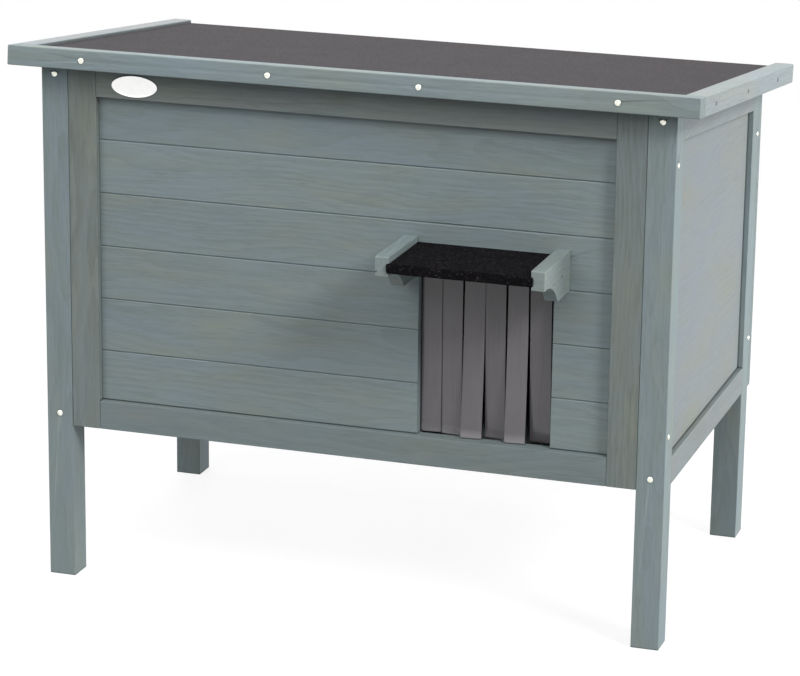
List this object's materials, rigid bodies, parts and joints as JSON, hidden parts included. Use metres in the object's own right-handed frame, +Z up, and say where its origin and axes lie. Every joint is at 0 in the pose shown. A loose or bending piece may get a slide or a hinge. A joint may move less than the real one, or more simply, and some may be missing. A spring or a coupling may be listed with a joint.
{
  "type": "outdoor cat house",
  "caption": "Raised outdoor cat house on four legs with a sloping felt roof hinged at the rear, a strip-curtain doorway and a small felt-topped awning.",
  "frame": {"origin": "on the ground, at the middle of the footprint of the whole part, awning and roof included", "axes": "+X to the right seen from the front, -Y out of the doorway, +Z up"},
  "size_m": [0.7712, 0.5542, 0.613],
  "materials": {
    "stained_frame": "grey-green stain, matt, fine grain",
    "stained_boards": "grey-green stain, matt, fine grain",
    "stained_awning": "grey-green stain, matt",
    "inner_wood": "grey-green stain, thin, sawn",
    "roof_felt": "mauve-grey mineral granules",
    "awning_felt": "near-black mineral granules",
    "curtain_pvc": "smoky soft PVC strip, satin",
    "white_screws": "white zinc plated screw heads",
    "zinc_steel": "zinc plated",
    "nails": "dull steel"
  },
  "bodies": {
    "house": {"front_left_leg": "stained_frame", "front_right_leg": "stained_frame", "rear_left_leg": "stained_frame", "rear_right_leg": "stained_frame", "front_left_stile": "stained_frame", "front_right_stile": "stained_frame", "front_bottom_rail": "stained_frame", "front_top_rail": "stained_frame", "rear_left_stile": "stained_frame", "rear_right_stile": "stained_frame", "rear_bottom_rail": "stained_frame", "rear_top_rail": "stained_frame", "left_bottom_rail": "stained_frame", "right_bottom_rail": "stained_frame", "left_top_rail": "stained_frame", "right_top_rail": "stained_frame", "front_plank_1": "stained_boards", "front_plank_2": "stained_boards", "front_plank_3": "stained_boards", "front_plank_4": "stained_boards", "front_plank_5": "stained_boards", "front_plank_6": "stained_boards", "rear_board_1": "stained_boards", "rear_board_2": "stained_boards", "rear_board_3": "stained_boards", "rear_board_4": "stained_boards", "rear_board_5": "stained_boards", "rear_board_6": "stained_boards", "left_panel": "stained_boards", "right_panel": "stained_boards", "awning_left_bracket": "stained_awning", "awning_right_bracket": "stained_awning", "awning_board": "stained_awning", "door_jamb_battens": "inner_wood", "floor_panel": "inner_wood", "floor_bearers": "inner_wood", "curtain_batten": "inner_wood", "awning_felt": "awning_felt", "curtain_header": "curtain_pvc", "hinge_wall_leaves": "zinc_steel", "hinge_pins": "zinc_steel", "hinge_wall_screws": "zinc_steel", "leg_screws": "white_screws", "inner_screws": "zinc_steel"},
    "roof": {"roof_board": "inner_wood", "roof_felt": "roof_felt", "roof_front_rail": "stained_frame", "roof_left_rail": "stained_frame", "roof_right_rail": "stained_frame", "roof_rail_screws": "white_screws", "roof_rail_nails": "nails", "hinge_roof_leaves": "zinc_steel", "hinge_roof_screws": "zinc_steel"},
    "curtain_strip_1": {"curtain_strip_1": "curtain_pvc"},
    "curtain_strip_2": {"curtain_strip_2": "curtain_pvc"},
    "curtain_strip_3": {"curtain_strip_3": "curtain_pvc"},
    "curtain_strip_4": {"curtain_strip_4": "curtain_pvc"},
    "curtain_strip_5": {"curtain_strip_5": "curtain_pvc"},
    "curtain_strip_6": {"curtain_strip_6": "curtain_pvc"}
  },
  "joints": [
    {"name": "roof_hinge", "type": "hinge", "parent": "house", "child": "roof", "pos_m": [0, 0.24969, 0.54264], "axis": [-1, 0, 0], "range_deg": [0, 90]},
    {"name": "strip_1_swing", "type": "hinge", "parent": "house", "child": "curtain_strip_1", "pos_m": [0.08917, -0.16481, 0.3873], "axis": [1, 0, 0], "range_deg": [-75, 75]},
    {"name": "strip_2_swing", "type": "hinge", "parent": "house", "child": "curtain_strip_2", "pos_m": [0.1135, -0.16481, 0.3873], "axis": [1, 0, 0], "range_deg": [-75, 75]},
    {"name": "strip_3_swing", "type": "hinge", "parent": "house", "child": "curtain_strip_3", "pos_m": [0.13783, -0.16481, 0.3873], "axis": [1, 0, 0], "range_deg": [-75, 75]},
    {"name": "strip_4_swing", "type": "hinge", "parent": "house", "child": "curtain_strip_4", "pos_m": [0.16217, -0.16481, 0.3873], "axis": [1, 0, 0], "range_deg": [-75, 75]},
    {"name": "strip_5_swing", "type": "hinge", "parent": "house", "child": "curtain_strip_5", "pos_m": [0.1865, -0.16481, 0.3873], "axis": [1, 0, 0], "range_deg": [-75, 75]},
    {"name": "strip_6_swing", "type": "hinge", "parent": "house", "child": "curtain_strip_6", "pos_m": [0.21083, -0.16481, 0.3873], "axis": [1, 0, 0], "range_deg": [-75, 75]}
  ]
}
